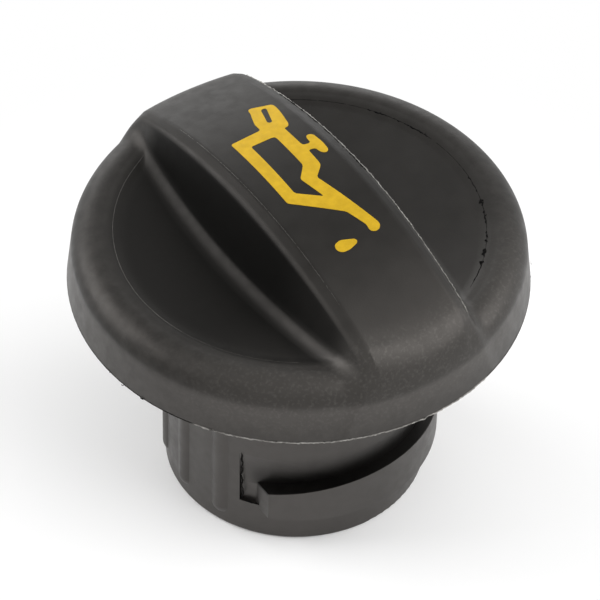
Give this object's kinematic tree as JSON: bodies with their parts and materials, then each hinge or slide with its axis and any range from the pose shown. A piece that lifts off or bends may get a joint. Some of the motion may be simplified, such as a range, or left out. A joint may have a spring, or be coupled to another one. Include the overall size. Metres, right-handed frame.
{
  "type": "oil filler cap",
  "caption": "Moulded bayonet oil filler cap: dished round head with an arched hollow grip bar, a hollow plug with two lugs, and a rubber sealing ring.",
  "frame": {"origin": "on the cap's axis, at the plug's lower end face", "axes": "+Z along the axis towards the head; +Y along the grip bar, through the bayonet lugs"},
  "size_m": [0.062, 0.062, 0.0508],
  "materials": {
    "cap_body": "satin, moulded",
    "seal_ring": "matt"
  },
  "bodies": {
    "root": {"cap_body": "cap_body", "seal_ring": "seal_ring"}
  },
  "joints": []
}
